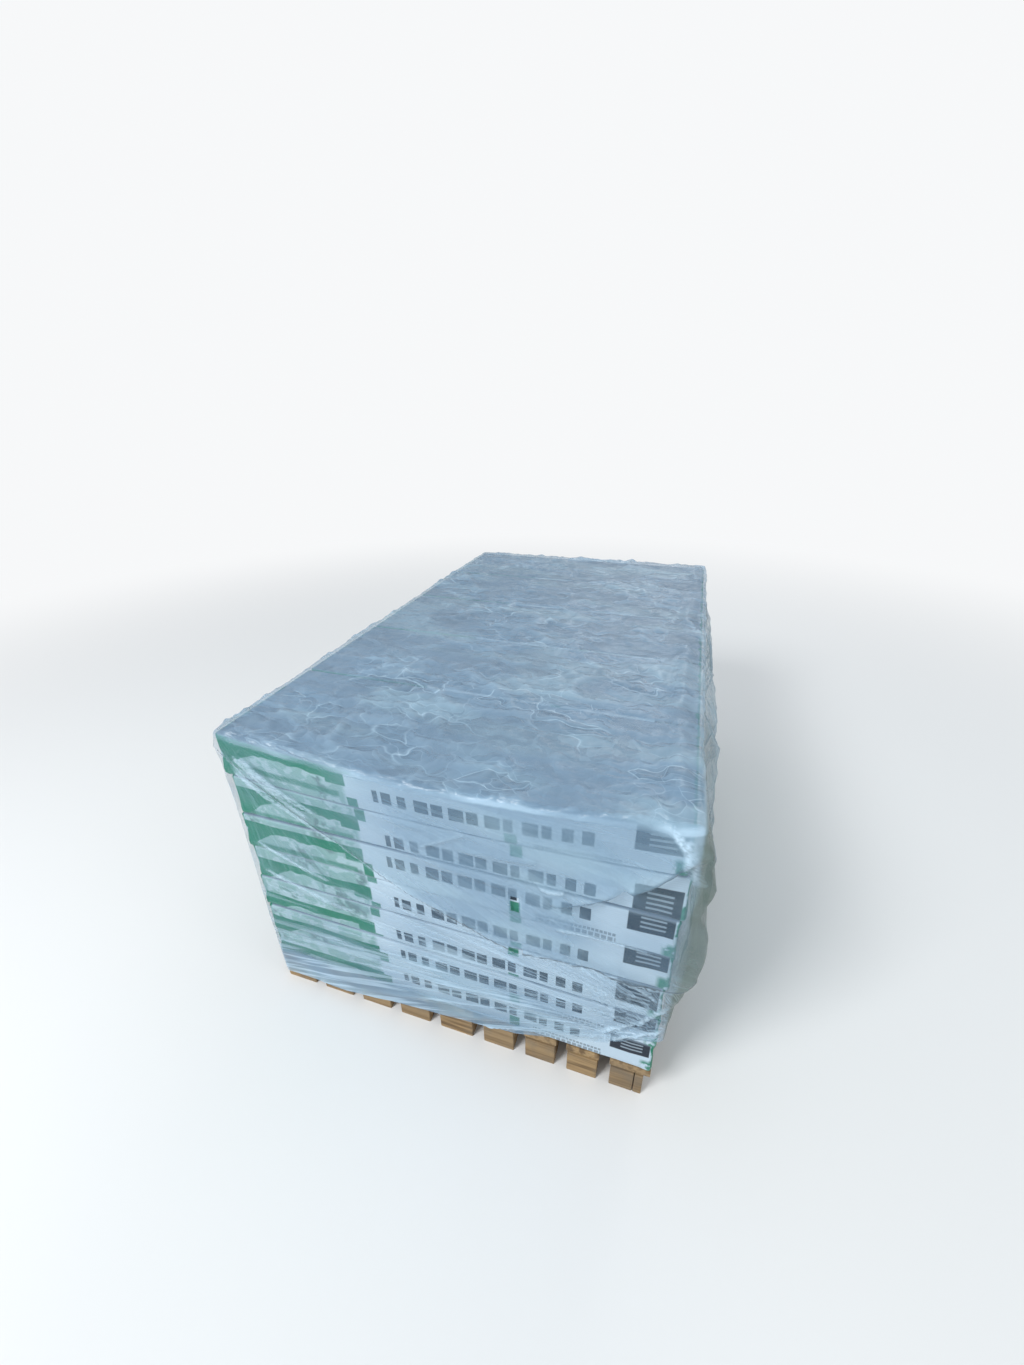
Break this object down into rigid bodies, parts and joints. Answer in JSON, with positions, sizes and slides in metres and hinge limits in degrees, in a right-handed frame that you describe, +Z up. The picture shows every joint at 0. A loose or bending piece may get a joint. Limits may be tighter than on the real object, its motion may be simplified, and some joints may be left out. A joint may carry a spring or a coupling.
{
  "type": "pallet load of asphalt shingle bundles",
  "caption": "Wooden pallet stacked with film-wrapped asphalt shingle bundles in layers, under a loose translucent film cover, lifted at a corner.",
  "frame": {"origin": "on the ground under the middle of the load", "axes": "+X to the right along the long side of each bundle, +Y from the front of the load to its back, +Z up"},
  "size_m": [1.1528, 1.6934, 0.8303],
  "materials": {
    "rough_timber": "rough sawn softwood blocks and thin boards, weathered, dusty",
    "pallet_boards": "sawn softwood boards, light yellow brown, knots and dirt",
    "bundle_wrapper": "printed polyethylene wrapper, off-white with green ends and dark panels, softly glossy",
    "cover_film": "milky translucent polyethylene film, loose, creased and stretched"
  },
  "bodies": {
    "root": {"block_row_1": "rough_timber", "block_row_2": "rough_timber", "block_row_3": "rough_timber", "block_row_4": "rough_timber", "cross_boards": "rough_timber", "deck_boards": "pallet_boards", "bundle_layer_1": "bundle_wrapper", "bundle_layer_2": "bundle_wrapper", "bundle_layer_3": "bundle_wrapper", "bundle_layer_4": "bundle_wrapper", "bundle_layer_5": "bundle_wrapper", "bundle_layer_6": "bundle_wrapper", "bundle_layer_7": "bundle_wrapper", "film_cover": "cover_film"}
  },
  "joints": []
}
